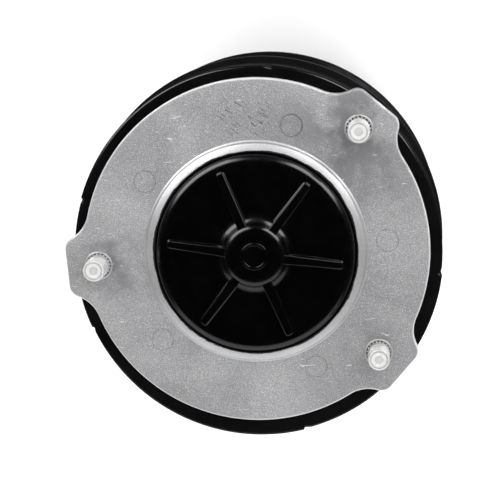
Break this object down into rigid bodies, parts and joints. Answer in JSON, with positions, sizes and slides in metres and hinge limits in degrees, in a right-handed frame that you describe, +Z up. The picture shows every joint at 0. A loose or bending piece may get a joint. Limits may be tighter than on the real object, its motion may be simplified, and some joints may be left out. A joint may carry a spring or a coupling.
{
  "type": "kitchen garbage disposal",
  "caption": "Upright continuous-feed food waste disposer with a studded mounting plate, ribbed stopper, splash guard, grind chamber, side discharge port and base wiring room.",
  "frame": {"origin": "centre of the flat underside of the base cover, on the shaft's axis", "axes": "+Z up along the shaft's axis, from the base to the sink end; the discharge port faces -Y"},
  "size_m": [0.1684, 0.1839, 0.3137],
  "materials": {
    "cast_aluminium": "fine as-cast grain with a machined collar",
    "zinc_steel": "bright zinc plated",
    "stainless": "pressed stainless steel",
    "plain_steel": "plain ground steel",
    "black_gloss": "glossy moulded",
    "black_satin": "satin moulded",
    "black_nylon": "fine textured glass-filled nylon",
    "rubber": "matt",
    "foam": "open-cell foam",
    "copper": "enamelled copper wire",
    "brass": "plain",
    "carbon": "pressed carbon",
    "ferrite": "sintered ferrite",
    "red_button": "moulded",
    "green_paint": "green painted"
  },
  "bodies": {
    "housing": {"mounting_plate": "cast_aluminium", "mounting_stud_1": "zinc_steel", "mounting_stud_2": "zinc_steel", "mounting_stud_3": "zinc_steel", "neck_gasket": "rubber", "top_trim_ring": "black_satin", "hopper": "black_nylon", "inlet_knockout_plug": "black_nylon", "sound_insulation": "foam", "clamp_band": "stainless", "upper_shell": "black_satin", "grind_ring": "stainless", "drain_housing": "cast_aluminium", "port_gasket": "rubber", "port_flange": "zinc_steel", "port_screw_a": "zinc_steel", "port_screw_b": "zinc_steel", "shaft_seal": "rubber", "upper_bearing": "plain_steel", "lower_bearing": "brass", "motor_can": "plain_steel", "end_bell": "cast_aluminium", "magnet_a": "ferrite", "magnet_b": "ferrite", "brush_a": "carbon", "brush_b": "carbon", "brush_holder_a": "brass", "brush_holder_b": "brass", "through_bolt_a": "zinc_steel", "through_bolt_b": "zinc_steel", "ground_screw": "green_paint", "lower_shell": "black_satin", "base_cover": "black_nylon", "base_screw_1": "zinc_steel", "base_screw_2": "zinc_steel", "base_screw_3": "zinc_steel", "wiring_door": "zinc_steel", "cable_gland": "black_nylon", "overload_switch": "black_nylon", "terminal_block": "black_nylon"},
    "rotor": {"shaft": "plain_steel", "slinger": "rubber", "armature_core": "plain_steel", "winding_upper": "copper", "winding_lower": "copper", "commutator": "copper", "turntable": "stainless", "turntable_nut": "zinc_steel", "lug_rivet_a": "zinc_steel", "lug_rivet_b": "zinc_steel"},
    "lug_a": {"swivel_lug_a": "stainless"},
    "lug_b": {"swivel_lug_b": "stainless"},
    "guard": {"splash_guard": "rubber"},
    "stopper": {"stopper": "black_gloss"},
    "button": {"reset_button": "red_button"}
  },
  "joints": [
    {"name": "rotor_spin", "type": "hinge", "parent": "housing", "child": "rotor", "pos_m": [0, 0, 0.18], "axis": [0, 0, 1], "continuous": true},
    {"name": "lug_a_swivel", "type": "hinge", "parent": "rotor", "child": "lug_a", "pos_m": [0.04, 0, 0.19], "axis": [0, 0, 1], "continuous": true},
    {"name": "lug_b_swivel", "type": "hinge", "parent": "rotor", "child": "lug_b", "pos_m": [-0.04, 0, 0.19], "axis": [0, 0, 1], "continuous": true},
    {"name": "guard_lift", "type": "slide", "parent": "housing", "child": "guard", "axis": [0, 0, 1], "range_m": [0, 0.06]},
    {"name": "stopper_lift", "type": "slide", "parent": "guard", "child": "stopper", "axis": [0, 0, 1], "range_m": [0, 0.06]},
    {"name": "reset_press", "type": "slide", "parent": "housing", "child": "button", "axis": [0, 0, 1], "range_m": [0, 0.0025], "stiffness_N_per_m": 300}
  ]
}
